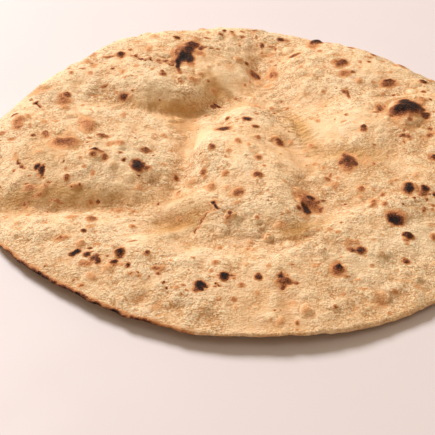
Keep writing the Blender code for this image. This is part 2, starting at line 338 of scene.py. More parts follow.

# The marks and cracks are listed as they look on a level sheet at this height, seen from the
# camera, and land on the crust along the camera's sight lines.
# Most were read off the photo, in pixels, and a program turned the readings into millimetres.
# It also rounded and wrote out most of the rows of MARKS.
SEEN_LEVEL_MM = 12
MARKS = (
    # back-left burnt blister, with the lobes of its broken skin
    (-26, 76.5, 4.5, 7, 0.6), (-28.5, 73, 1.2, 9, 0.7), (-25, 70.5, 3.8, 7, 1.4, -0.6),
    (-27.5, 66, 2.6, 7, 1.5, -0.6), (-26.3, 69.5, 3.2, 9, 1.45), (-23.3, 68.5, 4, 8, 1.3),
    (-23.2, 75.5, 4.5, 5.5, 1.2), (-27.5, 61, 1.6, 5, 1.35), (-23, 71, 3.4, 9.5, 1.15),
    (-22, 79.5, 5, 4.5, 1, 0.7), (-20, 79.5, 2.6, 3.6, 0.95), (-18, 76.5, 2.6, 3.6, 0.8),
    (-18.5, 72, 3.8, 4.5, 0.45), (-22.5, 63.5, 3.8, 5, 0.5), (-21, 67.5, 1.8, 7, 0.5),
    (-27, 57.5, 1.6, 2.6, 0.7), (-26.5, 55, 2, 2.6, 0.5), (-30, 64.5, 2.6, 3.4, 0.55),
    (-30, 70.5, 1.8, 10.5, 0.4),
    # specks along the crack at its left
    (-46, 70, 1.8, 2.2, 0.85), (-43.5, 67, 1.8, 1.4, 0.9), (-41.5, 66, 1.2, 1.4, 0.8),
    (-39.5, 67.5, 1.2, 2.6, 0.7), (-36, 65, 2.2, 1.8, 0.6), (-33, 65.5, 2.6, 1.8, 0.75, 0, -20),
    (-30.5, 62, 2.2, 1.2, 0.85),
    # back left
    (-52.5, 71, 2.2, 4, 1.1, 0.4), (-52, 70.5, 3.8, 5.5, 0.55), (-57, 68.5, 5, 1.8, 0.6),
    (-48.5, 75, 1.8, 2.2, 0.6), (-40.5, 75, 2.6, 4.5, 0.4, 0.6), (-29, 86, 2.6, 2.4, 0.95, 0.6),
    (-15.5, 85.5, 3, 1.8, 0.8, 0, -20), (-46, 82.5, 5, 1.4, 0.3), (-55, 58.5, 1.8, 1.6, 1, 0, 35),
    (-50.5, 55.5, 2, 4, 0.4, 0.5), (-45, 61, 2.2, 2.2, 0.35), (-34, 56.5, 1.2, 1.6, 0.95, 0.3),
    (-33.5, 54, 2.6, 2.6, 0.75, 0.4), (-49, 36, 3.2, 7, 0.8, 0.5), (-48.5, 35.5, 2, 4, 1),
    (-52, 39, 1.6, 2.4, 0.4), (-34, 33, 0.8, 2, 0.85), (-84, 40, 11.5, 6.5, 0.2),
    (-72, 56, 2, 2.6, 0.55), (-73.5, 58.5, 1.6, 1.6, 0.5), (-67.5, 58.5, 2.2, 1.6, 0.6),
    (-64, 63, 1.6, 1.2, 0.7), (-63, 61, 3.4, 2.6, 0.3), (-64, 55, 2, 2.6, 0.45),
    (-57.5, 44, 2.8, 2.8, 0.65), (-72, 37.5, 2.8, 4, 0.7, 0.5), (-74.5, 36, 2.4, 4.5, 0.5, 0.4),
    (-72.5, 32.5, 5, 4.5, 0.5, 0.7),
    # back middle
    (-8, 92, 1.4, 2.8, 1.1), (-9.5, 88, 1.8, 1.8, 0.8, 0, 40), (-4.5, 91, 1.8, 1.4, 0.75),
    (-4, 89, 2.2, 2.4, 0.5, 0, 30), (0, 91.5, 1.8, 1.4, 0.6), (0, 87, 2.2, 2.4, 0.7),
    (5.5, 92.5, 1.8, 1.8, 0.95, 0, -30), (6, 86.5, 0.8, 3.6, 0.6), (6, 79.5, 0.8, 2.8, 0.45),
    (8.5, 79, 1.4, 4.5, 0.85), (12.5, 77.5, 3, 1.8, 0.6, 0, -15), (14, 75, 1, 3.2, 0.6),
    (16.5, 84.5, 2.6, 2.8, 1.05, 0, 15), (19, 83, 3.4, 2.8, 0.4), (24, 88, 1.4, 1.8, 0.5),
    (33, 84.5, 5, 4.5, 1.1, 1.1), (30.5, 79.5, 5, 4.5, 0.45), (33, 74, 2.2, 1.8, 0.5, 0, 20),
    (22, 70, 4.5, 2.2, 0.75), (8, 72.5, 1.2, 2.6, 0.45), (10.5, 69.5, 7, 2.6, 0.3),
    (12, 64.5, 2.2, 1.8, 0.45), (17, 63.5, 1.6, 1.2, 0.45), (1.5, 63, 1.4, 2.2, 1),
    (4.5, 52.5, 4, 6.5, 0.7, 0.4), (3.5, 56, 1.2, 3.4, 0.8), (6, 51, 1.4, 2.8, 1),
    (12.5, 53, 3, 6.5, 0.5, 0.7), (11.5, 52.5, 1.2, 4, 0.6), (10, 44, 4, 3.2, 0.3),
    (0.5, 45, 1.2, 2, 0.6), (2.5, 47.5, 0.8, 2.4, 0.5), (-3.5, 34, 1, 2, 0.65),
    (11.5, 32.5, 1.6, 0.8, 0.5), (-5.5, 60, 5, 8.5, 0.15),
    # back right
    (38, 83, 3.4, 1.4, 0.45), (47.5, 78.5, 3, 1.8, 0.6, 0, -20), (47, 72.5, 0.8, 1.8, 0.4),
    (40, 70.5, 4.5, 1.8, 0.3, 0, -15), (41, 63, 5.5, 5, 0.75, 0.9), (42, 64, 2.6, 3.4, 0.9),
    (42.5, 54.5, 4.5, 5, 0.5, 0.4), (45.5, 56, 2, 2, 0.75), (49.5, 64.5, 1.2, 2.2, 0.5),
    (53.5, 64.5, 1.6, 1.8, 0.7), (54, 68.5, 3.4, 1.4, 0.4), (59, 65, 2.2, 1.2, 0.5),
    (64, 61.5, 1.6, 1.8, 0.4), (56.5, 55.5, 1.6, 2.6, 0.25), (59.5, 48, 3.4, 2.4, 1.1, 0.5),
    (59.5, 46, 6, 5, 0.7, 0.7), (61.5, 47.5, 2, 3.2, 0.8), (41, 40, 2.4, 2.4, 0.65),
    (42, 37, 1.4, 5.5, 0.7), (53.5, 47.5, 2.4, 1.6, 0.3, 0, 35), (60.5, 37, 1.6, 1.6, 0.75),
    (73, 39.5, 2.4, 1.6, 0.7), (76.5, 48.5, 2.4, 1.6, 0.45), (72, 34.5, 2.4, 2, 0.6),
    (75, 33.5, 1.2, 2, 0.85),
    # the burnt flake at the left, and brown marks round it
    (-84, 31, 1.6, 2.4, 1, 0, -35), (-89, 16.5, 4.5, 8, 0.45, 0.5), (-90, 17, 1.2, 2.2, 0.6),
    (-88.5, 12.5, 3.2, 2.2, 0.55), (-84, 14, 1.2, 4.5, 0.45), (-79, 17, 2.4, 2.2, 0.4),
    (-74, 17, 2.4, 1.4, 0.45), (-82, 7, 2, 1.8, 0.85, 0, 25), (-77.5, 7.5, 3, 3.6, 0.5, 0.7),
    (-77, 5.5, 2.4, 2.2, 0.45), (-90, 4, 3.4, 2.2, 0.4), (-69.5, 2, 9, 6.5, 0.55, 1.1),
    (-70, 1.5, 5.5, 4, 0.65), (-61.5, 13, 4.5, 6.5, 0.4, 1.1), (-63, 15.5, 4.5, 2.2, 0.5),
    (-60, 10.5, 2, 4.5, 0.4), (-55, 6.5, 4, 2.4, 0.6, 0.6), (-56.5, 7.5, 2, 1.4, 0.75),
    (-60, 5, 2, 1, 0.6), (-60.5, 2, 1.6, 1, 0.6), (-59.5, -1, 1.2, 1, 0.45),
    (-57.5, -4, 3, 2.4, 1.15, 0.6), (-57.5, -7.5, 2.6, 2.4, 0.7), (-55, -5.5, 3, 2.8, 0.55),
    (-53, -8.5, 2.2, 3.4, 0.6), (-56, -6.5, 7, 7, 0.15, 1.3), (-52.5, 0.5, 1.6, 2.8, 0.45),
    (-62.5, -8.5, 1, 1, 0.55), (-87, -9, 3.8, 4, 0.2), (-86, -17.5, 1.2, 1.4, 0.75),
    (-78, -14.5, 1.8, 4, 1.3), (-76, -16.5, 1.8, 4.5, 1.3), (-75.5, -19.5, 1, 3.2, 0.9),
    (-74.5, -22, 1, 1, 0.75), (-77, -20, 1.4, 1.2, 0.55), (-80, -20.5, 1.2, 1.2, 0.55),
    (-67, -16, 1.4, 2.4, 0.5), (-66.5, -21.5, 2, 4.5, 0.6, 0.4), (-60.5, -14.5, 1.4, 2, 0.5),
    (-57, -19, 1.6, 3.2, 0.45), (-81, -1.5, 0.8, 1.4, 0.35),
    # middle back
    (-48, 21, 1.6, 3, 0.35, 0.4), (-11, 28.5, 1.4, 3.8, 1.15, 0, 50), (-12.5, 27.5, 2.4, 2, 0.85),
    (-15.5, 21, 1.6, 1.4, 0.55), (-19.5, 12, 4.5, 1.4, 0.25), (-43.5, 9, 1.2, 0.8, 0.5),
    (-42.5, 5, 0.8, 0.8, 0.9), (-48, 1, 3.4, 4, 0.4, 0.7), (-51, 1.5, 3, 2.8, 0.3),
    (-38, -4, 3.4, 4.5, 0.6, 0.7), (-38, -3, 1.6, 2.4, 0.8), (-47.5, -5, 1.8, 1.4, 0.7, 0, 15),
    (-46, -10, 1.4, 2.4, 1), (-40.5, -14.5, 4, 5.5, 1.35, 0.9), (-38.5, -12.5, 1.4, 2, 0.75),
    (-37, -15.5, 2.6, 3, 0.7, 0, -25), (-28.5, -4, 1.6, 1.4, 0.4), (-31, -13, 1.6, 1.6, 0.4),
    (-38, 14, 1.6, 1, 0.35), (-35, 7.5, 1.2, 1, 0.4), (-26, -22, 2, 3.8, 0.7, 0.4),
    (-16, -18, 2.2, 4.5, 0.6, 0.5), (-16.5, -12, 1, 1.4, 0.4), (-13, -1, 2.2, 3.2, 0.7, 0.5),
    (-13.5, 0.5, 1, 1, 0.95),
    # on the middle mound's top
    (-7, 18.5, 1.8, 1.4, 0.85), (-3, 18.5, 2, 1.2, 0.45), (1, 19, 3, 2.6, 1.2),
    (-0.5, 17.5, 1.2, 1.4, 0.6), (4.5, 22.5, 1.8, 1.6, 0.55), (-8.5, 11.5, 5, 3.6, 1),
    (-6.5, 15, 2, 1.2, 0.5), (-1.5, 13, 1.4, 1, 0.5), (4, 13, 2.6, 2.2, 0.8, 0.4),
    (-4.5, 10, 1, 1, 0.5), (-3, 3, 2, 3.6, 0.5, 0.4), (4.5, 5, 2.2, 2.4, 0.5, 0.4),
    (1, 0.5, 1.2, 2.4, 0.5), (4.5, -1.5, 1.2, 2, 0.2), (-6.5, -4, 2.2, 2.4, 0.4, 0.4, -20),
    (-8, -8, 1, 1.4, 0.6), (4.5, -8.5, 2.4, 3, 0.65, 0.5), (13, 0.5, 3.2, 5.5, 0.7, 0.7),
    (13.5, 18.5, 1.2, 1.4, 0.55), (6.5, -14, 1.4, 1.4, 0.5, 0, 25), (4, -20, 3.4, 3.8, 0.7, 0.8),
    (-8, -19.5, 2.4, 3.2, 0.45, 0.6), (-10.5, -15.5, 1.2, 1.4, 0.35), (28.5, 17.5, 2, 2.2, 0.4),
    (26, 19, 2.4, 1.2, 0.3), (28.5, -15.5, 1.2, 2, 0.45, 0.3), (25.5, -13, 3, 2.6, 0.3),
    # the large charred blister at the right
    (63.5, 28.5, 5, 7, 1.3), (66.5, 25.5, 8, 6, 1.35), (61.5, 24.5, 5.5, 4.5, 1.3),
    (64, 24, 10.5, 4.5, 1.3), (64.5, 26, 12, 10.5, 0.2, 2.5), (70, 25.5, 3.2, 3.8, 1),
    (71.5, 21, 2.8, 4.5, 0.95, 0.4), (70.5, 23, 2.4, 3, 0.8), (58, 21.5, 3.2, 3, 0.6),
    (62, 20.5, 6.5, 2.2, 0.65), (63, 20, 8.5, 3, 0.45),
    # right
    (54, 27, 3.2, 4.5, 0.6), (53.5, 26, 1.6, 2.2, 0.85), (52, 24, 2.8, 1.2, 0.7),
    (56, 28.5, 1.2, 2.4, 0.55), (40, 22, 1.4, 1.8, 0.6), (38.5, 17, 2.4, 1.4, 0.4, 0, 15),
    (46, 13, 1.8, 2.6, 1.15, 0.4), (46, 11, 2.8, 3.2, 0.7, 0.5), (64.5, 17, 1.6, 2.2, 0.6),
    (63, 14, 0.8, 1.4, 0.5), (60.5, 6.5, 2.6, 2.8, 0.8), (62.5, 6.5, 2, 2.8, 0.65),
    (61.5, 10.5, 1.2, 1.4, 0.6), (60.5, 2.5, 1.2, 1.8, 0.6), (63, 4, 1.2, 2.2, 0.5),
    (71.5, 11.5, 2, 2.2, 0.65), (71, 7, 2.6, 3.6, 0.6, 0.4), (72.5, 8.5, 1.6, 2.2, 0.4),
    (67, 6, 0.8, 1, 0.55), (68, 4, 0.8, 1.4, 0.6), (70.5, -8, 1.8, 3.4, 1.1, 0.4),
    (69, -8.5, 1.8, 4.5, 0.5), (37.5, -11, 3, 5.5, 1, 0.5), (38, -11, 5.5, 7.5, 0.75, 0.7),
    (36.5, -7.5, 1.6, 2.8, 0.75), (40, -13, 2.6, 3.4, 0.85), (35, -12.5, 1.8, 2.6, 0.75),
    (44.5, -10.5, 3.8, 8, 0.2), (47.5, -12.5, 1.2, 2, 0.55), (53, -7.5, 1, 1.4, 0.5),
    (60, -3, 1.2, 1, 0.35), (30.5, -20.5, 1.2, 2.6, 0.6, 0.3), (29.5, -23, 1.8, 3.2, 0.6, 0.4),
    (33, -22, 1.4, 1.6, 0.4, 0.3), (63, -18.5, 2.2, 1, 0.3), (31.5, -29, 1, 2.2, 0.5, 0.2),
    (41, -29, 2.8, 3.4, 0.55, 0.4), (45.5, -29.5, 1.6, 1.2, 0.45), (48.5, -33, 1.6, 2.2, 0.6, 0.2),
    (44.5, -38, 2.2, 4, 0.5, 0.5), (44, -40, 1.8, 0.6, 0.55), (48.5, -38.5, 2, 2.8, 0.55, 0.4),
    (52.5, -30, 2.2, 2.6, 0.25), (58.5, -28, 2.8, 5, 1.35, 0.5), (58, -29, 4.5, 6.5, 0.5),
    (61, -27.5, 1.4, 3.2, 0.45), (64, -29, 2.8, 4.5, 1.4, 0.5), (63, -31.5, 3.6, 3.8, 0.6),
    (62, -33, 1.4, 1.8, 0.55), (61.5, -30, 1.8, 3.8, 0.4), (67, -32.5, 1, 2.4, 1.2),
    (65.5, -32.5, 0.8, 1, 0.7), (64, -35.5, 0.8, 1.6, 0.85), (55, -38.5, 0.8, 1.2, 1.05),
    (51, -48, 5, 5.5, 1.35, -0.3), (51.5, -46, 6.5, 7, 0.5, 0.5), (62, -42, 1.8, 3, 0.6, 0.4),
    (62.5, -40.5, 0.8, 0.8, 0.9), (65.5, -39.5, 1.4, 1.8, 0.6, 0.3), (65, -42, 1, 1.2, 0.6),
    (59.5, -41, 0.8, 1.2, 0.5, 0.2), (54.5, -57, 3, 3.4, 1.15, 0.7), (53, -56.5, 1, 1.4, 1.1),
    (53.5, -59.5, 2, 1.6, 0.6), (56, -58.5, 1, 1.6, 0.5), (53.5, -61.5, 2, 1.6, 0.3),
    (63, -58, 2, 3.4, 0.6), (63.5, -50.5, 3.2, 3.4, 0.2), (42.5, -59, 1.8, 1.6, 0.3),
    (45.5, -56.5, 2, 1.8, 0.2),
    # the two-lobed mark on the middle mound's front
    (21.5, -38, 7.5, 9, 0.6, 0.9), (22, -35.5, 2.6, 3.6, 1.15, 0.4), (21.5, -38.5, 1.8, 2.4, 0.95),
    (20.5, -42, 3.2, 3.6, 1.25), (19.5, -40, 1.4, 2.4, 1.1), (23, -35.5, 1.8, 3.6, 0.8),
    (17.5, -33.5, 2.8, 3, 0.4), (18, -40.5, 1.4, 3, 0.8), (24.5, -38, 1.4, 4.5, 0.7, 0, -35),
    (25.5, -42, 1.6, 4, 0.7, 0, -20), (19.5, -46, 6.5, 3, 0.2), (27, -36.5, 2.2, 1, 0.8, 0, 25),
    # middle mound and the hollow at its left
    (-3.5, -31, 4.5, 5.5, 0.4, 0.7), (-2, -31.5, 1.8, 2.2, 0.65), (-4, -32, 2.6, 3.8, 0.6),
    (-6.5, -45.5, 3.8, 6, 0.2, 0.9), (-6.5, -45, 1.8, 2.6, 1.05), (-7, -47, 2, 2, 0.6),
    (-8, -49.5, 1.8, 2.4, 0.3), (3, -47.5, 3.2, 5.5, 0.1, 0.8), (3, -47, 1.2, 2.6, 0.5),
    (6.5, -58.5, 3.4, 4.5, 0.14, 1.2), (6.5, -57.5, 1.4, 1.6, 0.45), (5.5, -59.5, 1.4, 0.8, 0.5),
    (2.5, -56.5, 2.8, 3.4, 0.08, 0.7), (1, -58.5, 1, 0.8, 0.4), (12, -44.5, 0.8, 1.4, 0.6),
    (13.5, -24, 1.8, 2, 0.3), (3.5, -24, 1.2, 1.2, 0.4), (-13.5, -28, 3.2, 4.5, 0.4, 0.8),
    (-12.5, -27.5, 1, 1.2, 0.5), (-25, -31.5, 1.4, 1.6, 0.85), (-25, -33, 1.8, 3.8, 0.35, 0.4),
    (-32, -38.5, 1, 1.6, 0.9), (-34, -38, 0.8, 1.2, 0.4), (-45.5, -42.5, 3.2, 3, 0.35, 0.7),
    (-45, -40.5, 1, 0.8, 0.6), (-48, -42, 1, 1.8, 0.45), (-40.5, -51.5, 1.8, 2, 0.45, 0.2),
    (-40, -60, 3, 0.6, 0.65, 0, 5), (-27, -48, 3.8, 5.5, 0.08), (-24.5, -52.5, 5.5, 2.8, 0.08),
    (-24.5, -47, 1.4, 2.4, 0.4),
    # left
    (-80.5, -25.5, 1.4, 0.8, 0.75), (-79, -28, 4.5, 4.5, 0.4, 0.4), (-77, -27.5, 2.2, 1.2, 0.55, 0, 25),
    (-72.5, -25, 1.8, 1.6, 0.7), (-73.5, -27.5, 1.8, 1.8, 0.5), (-62.5, -27, 4.5, 3.2, 0.3, 0.8),
    (-64, -27.5, 1.2, 1.8, 0.6), (-61, -26.5, 1.2, 2, 0.85), (-75, -33, 2.6, 1.8, 0.55, 0.4),
    (-76, -34, 4.5, 2.4, 0.35), (-70, -36.5, 3.6, 1.8, 0.4), (-67.5, -37, 4.5, 1, 0.5),
    (-79.5, -38.5, 1.4, 3, 0.5), (-78.5, -40.5, 1.4, 2.4, 0.4), (-53.5, -37, 1.4, 2.2, 0.85),
    (-56, -37.5, 1.8, 2.4, 0.55), (-62, -46, 5, 2.4, 0.3), (-55, -47, 3.2, 2.6, 0.5, 0.6),
    (-54.5, -47, 1.8, 1.2, 0.7), (-55, -51.5, 2.8, 2.4, 0.3), (-57, -54, 1.8, 1.8, 1.05, 0.4),
    (-64, -58.5, 5, 3.4, 0.4, 0.7), (-65, -58.5, 3, 1.6, 0.65), (-64.5, -57, 1, 1.2, 0.6),
    (-71, -49.5, 2, 1.2, 0.35), (-77.5, -45, 1.8, 0.8, 0.5, 0, 15), (-59, -61.5, 2.4, 0.6, 0.45),
    (-62, -63.5, 1.2, 0.6, 0.6), (-54, -64, 1.6, 1.2, 1.05), (-52, -61.5, 3, 1.4, 0.4, 0, -20),
    # the cluster of burnt spots at the front left
    (-58.5, -66, 2.4, 2.2, 1.4, 0.4), (-59.5, -67, 2.6, 2.4, 1.4), (-55, -67.5, 2.2, 2.4, 1.2, 0.4),
    (-53.5, -66, 1.6, 0.8, 0.7, 0, 20), (-52.5, -69.5, 2.6, 2.6, 0.9), (-51, -70.5, 2, 3.8, 1, 0.4),
    (-51.5, -68, 2, 1.6, 0.7), (-51, -72, 1.4, 1, 0.9), (-56.5, -72, 2, 3.2, 0.4),
    (-54.5, -72.5, 4.5, 2.6, 0.45), (-63.5, -70, 2, 3.2, 0.25), (-61, -70.5, 5.5, 3.8, 0.15),
    (-48, -68, 1, 1, 0.85), (-44, -66.5, 3, 4.5, 1, 0.7), (-44, -66.5, 2, 2.8, 1.5),
    (-43, -68.5, 1.6, 1.6, 0.5), (-45.5, -71, 2.4, 1.8, 1.1, 0.4), (-45, -72.5, 3, 1.6, 0.5),
    (-40.5, -73, 1.4, 2.4, 1.05, 0.3), (-39.5, -77.5, 1.8, 1.6, 0.5, 0.4), (-37.5, -77, 0.8, 1, 0.9),
    (-36.5, -78.5, 1.4, 2.6, 0.35), (-34.5, -66, 1.6, 1.6, 0.9, 0.4), (-35, -67, 2, 1.4, 0.5),
    (-38, -65.5, 1.2, 0.6, 0.65), (-31, -75, 3.4, 1.8, 0.6, 0.4), (-30.5, -77.5, 1.2, 1.8, 0.8, 0, 50),
    (-33.5, -79, 1, 0.6, 0.7), (-28.5, -82, 1.2, 1, 1), (-27.5, -85, 1.2, 1, 1),
    (-26, -84.5, 0.6, 1.6, 0.5), (-24.5, -82, 1, 0.8, 0.5), (-24, -85, 1, 0.6, 0.55),
    (-22, -83.5, 1.2, 1, 0.8, 0, -20), (-21, -86, 1.2, 1.2, 0.6, 0, -50), (-22.5, -88, 1.4, 0.8, 0.6),
    (-19, -69, 1.4, 1, 0.6), (-26.5, -70.5, 1.4, 1, 0.3),
    # the burnt spots at the front
    (-16.5, -83.5, 3.4, 3.6, 1.5, 0.4), (-16, -85.5, 1.2, 1.2, 1.3), (-18, -86, 2.2, 2, 0.7),
    (-17, -85, 2.6, 3, 0.9), (-11.5, -72, 2.4, 2.4, 0.45, 0.5), (-13, -76, 1.6, 1.8, 0.4, 0.2),
    (-10.5, -78.5, 1.6, 1.6, 0.55), (-20.5, -76, 0.4, 0.8, 0.75), (-36, -90.5, 1.2, 6.5, 0.3, 0, -35),
    (-30, -94, 3.8, 6, 0.2), (-8.5, -79, 2.8, 3.8, 1.5, 0.7), (-6.5, -78.5, 2, 1, 0.85),
    (-5.5, -78.5, 1.2, 1, 0.6), (-5.5, -80, 1.2, 1.2, 0.6), (-3, -83.5, 2.2, 2.2, 0.5, 0.4),
    (2.5, -79, 2.4, 3.2, 1.1, 0.6), (2.5, -77.5, 1.4, 1, 1.1), (1.5, -80, 1.4, 1.6, 0.5),
    (6, -73.5, 2, 2.2, 0.3), (6.5, -72.5, 1, 0.6, 0.5), (13.5, -72.5, 2, 0.8, 0.55),
    (11, -82, 5, 5, 0.65, 0.9), (10, -79.5, 2, 2.8, 1.05), (10, -77.5, 0.6, 1.4, 0.85),
    (12, -81.5, 2.2, 2, 0.8), (10.5, -85, 2.6, 2, 0.75), (12.5, -83, 3.2, 2, 0.7),
    (15, -82.5, 1.6, 1.6, 0.7, 0, -15), (12, -78.5, 1.6, 2, 0.4), (23, -72.5, 1.6, 0.8, 0.4),
    (13, -92.5, 3.8, 3, 0.2), (14, -102, 1.4, 2.8, 0.55, 0.3), (14, -107, 1, 0.6, 0.8),
    # the capped blister at the front right, and marks round it
    (29, -76, 4.5, 6.5, 0.65, 1.1), (29.5, -74.5, 2.4, 3.6, 1.35, 0.5), (29, -74.5, 3.4, 5, 0.9),
    (31.5, -79, 2.6, 1.6, 0.5), (30.5, -69, 1, 1, 0.45), (37.5, -65, 3, 3.8, 1, 0.4),
    (37, -65.5, 1.6, 2.2, 1.25), (35, -65, 2, 2, 0.95, 0, 25), (34, -64, 2.8, 2.2, 0.55),
    (38.5, -68.5, 1.6, 2.2, 0.2), (40.5, -73.5, 1.4, 1.8, 0.35), (52, -71, 2.8, 2.6, 0.7, 0.4),
    (52, -71.5, 1.4, 1.6, 0.9), (35, -81, 2, 1, 0.4), (33, -82, 1.4, 1, 0.3),
    (37, -85.5, 2, 1, 0.5, 0, 15), (35.5, -85, 2.6, 0.8, 0.3), (29.5, -88, 1.6, 1.4, 0.4, 0.3),
    (26.5, -95, 1.4, 1.4, 0.65), (26, -95, 3.2, 2.6, 0.06, 0.6), (33, -94.5, 2.6, 3, 0.2),
    (41.5, -92.5, 3.2, 5.5, 0.25), (43.5, -97.5, 1.6, 2, 0.35), (39.5, -93.5, 6.5, 6, 0.15),
    (53, -77, 0.4, 0.8, 0.6), (50.5, -81, 6.5, 3, 0.15), (54, -84.5, 4.5, 2.6, 0.2, 0, -30),
    (55, -80.5, 3.2, 3, 0.05, 0.7),
    # near the right rim
    (74, 48, 3.4, 3, 0.9, 0.4), (80, 36, 2.2, 2, 0.5, 0.3), (72, 33, 4.2, 3, 0.35, 0.6),
    (86, 22, 3, 4, 1.1, 0.3), (83.5, 19, 2, 2.2, 0.7), (76, 12, 2.6, 2.2, 0.45, 0.5),
    (90, 2, 2.4, 3.4, 0.6, 0.4), (79, -4, 4.6, 4, 1.3, 0.5), (82, -7, 2, 2, 0.8),
    (72, -14, 2, 1.8, 0.45, 0.4), (86, -19, 3.6, 3, 0.4, 0.7), (75, -27, 3, 2.4, 0.95, 0.4),
    (81, -36, 2.2, 2, 0.5, 0.4), (70, -44, 2.6, 2.2, 0.6, 0.3), (76, -52, 3.2, 2.6, 0.4, 0.6),
    (68, 62, 3, 2.4, 0.5, 0.4), (58, 74, 2.2, 2, 0.7), (92, -8, 1.4, 1.4, 0.6), (70, 20, 1.6, 1.4, 0.6),
    (74, -62, 2, 1.8, 0.9, 0.3),
    # near the left rim
    (-94, 8, 3, 2.6, 0.5, 0.4), (-96, -8, 2.4, 3.2, 0.9, 0.3), (-93, -20, 2, 2, 0.4, 0.4),
    (-91, 22, 2.6, 2.2, 0.6, 0.3),
)

# Short splits and dark cracks in the crust: points, width and burn.
Crack = namedtuple("Crack", "points width burn")
CRACKS = (
    Crack(((-18.5, 75.5), (-15.5, 77.5), (-13, 76.5), (-10, 75.5)), 0.5, 0.9),
    Crack(((-48, 70.5), (-43.5, 67), (-38, 65), (-32, 63.5), (-29, 61.5)), 0.5, 0.9),
    Crack(((-86, 33), (-84, 31), (-82, 28.5), (-81, 27)), 0.5, 1.1),
    Crack(((-86, -10.5), (-84.5, -13.5), (-82.5, -15.5), (-81.5, -17.5)), 0.6, 1.1),
    Crack(((-20.5, 17), (-18, 18.5), (-15.5, 20.5)), 0.4, 0.6),
    Crack(((-13, -36), (-12, -38.5), (-10.5, -41.5)), 0.38, 1.7),
    Crack(((-11.5, -41.5), (-14.5, -44), (-15.5, -46), (-16.5, -49), (-18.5, -54.5)), 0.5, 0.75),
    Crack(((-15, -84), (-12.5, -84), (-10, -83.5)), 0.4, 0.9),
    Crack(((-12, -79), (-10, -79)), 0.4, 0.6),
    Crack(((-7, -78.5), (-5, -78.5)), 0.4, 0.9),
)

TAN = 0.4  # burn of a mark from which it has a toasted ring
BLACK = 1.0  # burn of a mark with a full ring
TOASTED_EDGE = -128  # bearing of the middle of the toasted part of the edge, in degrees
TOASTED_SPREAD = 24  # how far it goes to either side, in degrees
TOASTED_WIDTH = 0.010  # width of its line on the top, as a share of the bread's radius

# The profile of a mark. Distances are in half sizes of the mark, so 1 is its outline.
CORE = 0.45  # how far the evenly burnt core goes
FADED = 1.25  # where only 30% of a mark's burn is left
RING, RING_WIDTH = 1.1, 0.45  # where its toasted ring is
RING_BURN = 0.5  # burn of the ring of a black mark
HIGHLIGHT_RING, HIGHLIGHT_RING_WIDTH = 0.72, 0.3  # where a blister gets its ring of painted highlight
SHADED_FOOT, SHADED_FOOT_WIDTH = 1.25, 0.2  # where a blister gets painted shade at its foot
FULL_PAINTED_LIGHT_LIFT_MM = 0.8  # height of a blister with the full painted highlight and painted shade
CRACK_DEPTH_MM = 0.5

# The outline of a mark strays by a fine and a coarse noise: the distance between their bumps,
# and how far they carry it, as a share of the mark's radius.
RAGGED_MM, RAGGED_SHARE = 1.7, 0.24
LOBED_MM, LOBED_SHARE = 4.5, 0.17
MOST_RAGGED_MM = 0.38


def scorch_profile(distance, burn):
    outside = np.clip(distance - CORE, 0, None) / (FADED - CORE)
    return burn * np.exp(-1.2 * outside**2)


def dome_profile(distance):
    return np.clip(1 - distance**2 / 1.4, 0, 1) ** 0.9


def toasted(points):
    """1 along the toasted part of the edge, fading out beyond it."""
    angle = np.degrees(polar(points)[1])
    return np.exp(-(((angle - TOASTED_EDGE) / TOASTED_SPREAD) ** 4))


class Crust:
    """The places of the mesh's points, in millimetres, and what the marks do to them."""

    def __init__(self, points):
        self.points = points
        self.burn = np.zeros(len(points))
        self.lift = np.zeros(len(points))
        self.painted_blister_light = np.zeros(len(points))
        self.ragged = np.column_stack([noise_at(points, RAGGED_MM, RAGGED_SEED + n) for n in range(2)])
        self.lobed = np.column_stack([noise_at(points, LOBED_MM, LOBED_SEED + n) for n in range(2)])
        self.one_sided = np.clip(0.35 + 1.1 * noise_at(points, 5, ONE_SIDED_SEED), 0, 1)

    def scorch(self, burn):
        self.burn = np.maximum(self.burn, burn)

    def add_mark(self, mark, stretch=1.0):
        """Adds a mark. Stretch is how much longer it is on the crust than it looks in depth."""
        radius = math.sqrt(mark.wide * mark.deep) / 2
        wander = min(MOST_RAGGED_MM, RAGGED_SHARE * radius) * self.ragged
        wander += LOBED_SHARE * radius * self.lobed
        away = self.points[:, :2] + wander - (mark.x, mark.y)
        along, across = turned(away[:, 0], away[:, 1] / stretch, mark.turn)
        distance = np.hypot(along / (mark.wide / 2), across / (mark.deep / 2))
        self.scorch(scorch_profile(distance, mark.burn))
        if mark.burn > TAN:
            ring = RING_BURN * min(mark.burn, BLACK) * bell(distance - RING, RING_WIDTH)
            self.scorch(ring * self.one_sided)
        if mark.lift:
            self.lift += mark.lift * dome_profile(distance)
            # Painted light on the blister: a painted highlight ring on its side and painted shade at
            # its foot.
            painted_blister_light = bell(distance - HIGHLIGHT_RING, HIGHLIGHT_RING_WIDTH) - bell(distance - SHADED_FOOT, SHADED_FOOT_WIDTH)
            self.painted_blister_light += min(mark.lift / FULL_PAINTED_LIGHT_LIFT_MM, 1) * painted_blister_light

    def toast_edge(self, share):
        """Burns a speckled line into the edge of the top, at the front left."""
        speckled = np.clip(0.7 + 0.8 * self.ragged[:, 0], 0, 1.3)
        self.scorch(toasted(self.points) * speckled * bell(1 - share, TOASTED_WIDTH))

    def add_crack(self, crack):
        wander = self.points[:, :2] + 0.5 * self.ragged
        distance = along_line(wander, crack.points)[0]
        broken = np.clip(0.75 + 0.9 * self.ragged[:, 0], 0, 1)
        inside = broken * bell(distance, crack.width)
        self.scorch(crack.burn * inside)
        self.lift -= CRACK_DEPTH_MM * inside


def land(x, y, camera, tree):
    """Where a place seen on the level sheet lands on the crust, and the crust's normal there."""
    for inwards in np.linspace(1, 0, 101):
        seen = Vector((x * inwards, y * inwards, SEEN_LEVEL_MM)) * MM
        place, normal, _, _ = tree.ray_cast(camera.location, seen - camera.location)
        if place:
            return place / MM, normal


